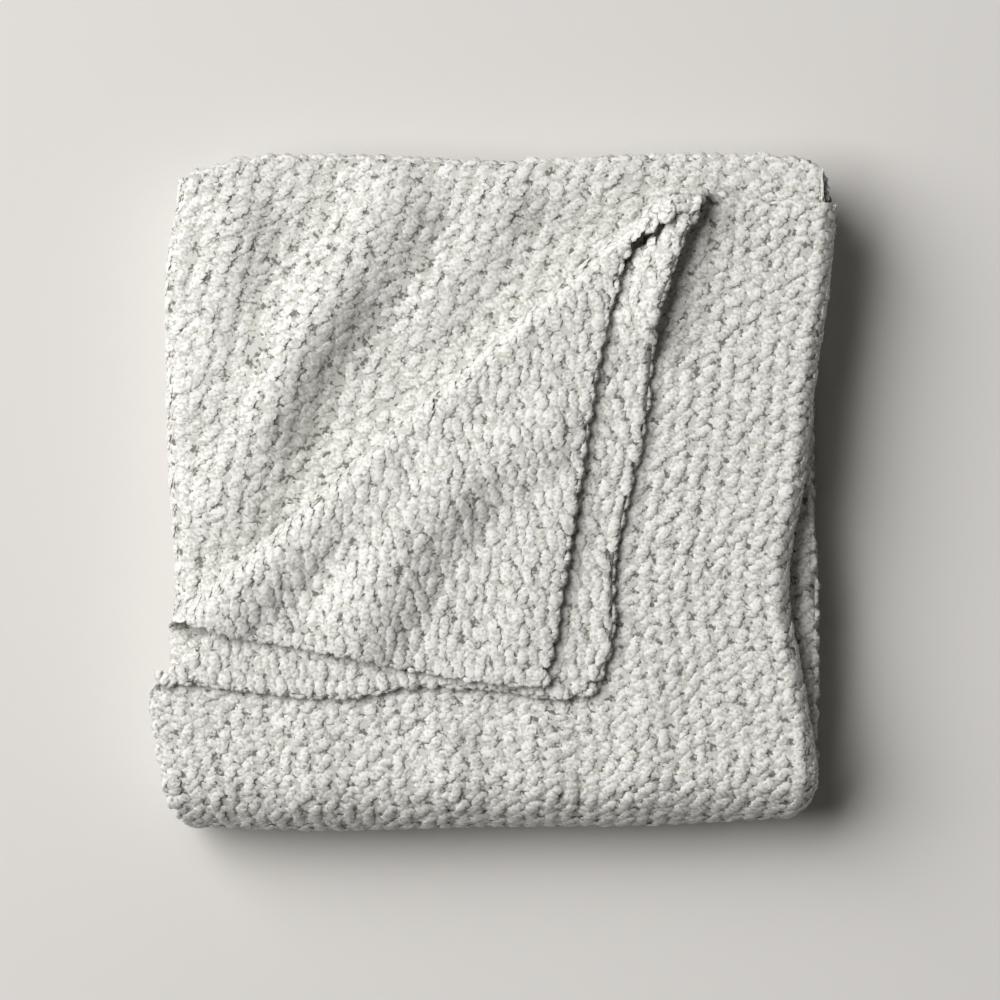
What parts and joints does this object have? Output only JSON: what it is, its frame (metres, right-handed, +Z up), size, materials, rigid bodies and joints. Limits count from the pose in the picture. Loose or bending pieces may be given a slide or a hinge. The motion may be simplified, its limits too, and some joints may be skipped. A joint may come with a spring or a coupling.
{
  "type": "folded knit throw",
  "caption": "Chunky pale knit throw folded to a soft square bundle, its top corner turned back in overlapping flaps; lies on a bed, sofa or shelf for warmth.",
  "frame": {"origin": "on the surface under the middle of the folded bundle", "axes": "+Z up through the layers, +X to the bundle's right, +Y to its back, where the free end lies"},
  "size_m": [0.4198, 0.4134, 0.0922],
  "materials": {
    "knit_yarn": "soft marled yarn in pale warm grey and white, knitted in a nubbly moss stitch, matt"
  },
  "bodies": {
    "root": {"throw_panel": "knit_yarn"}
  },
  "joints": []
}
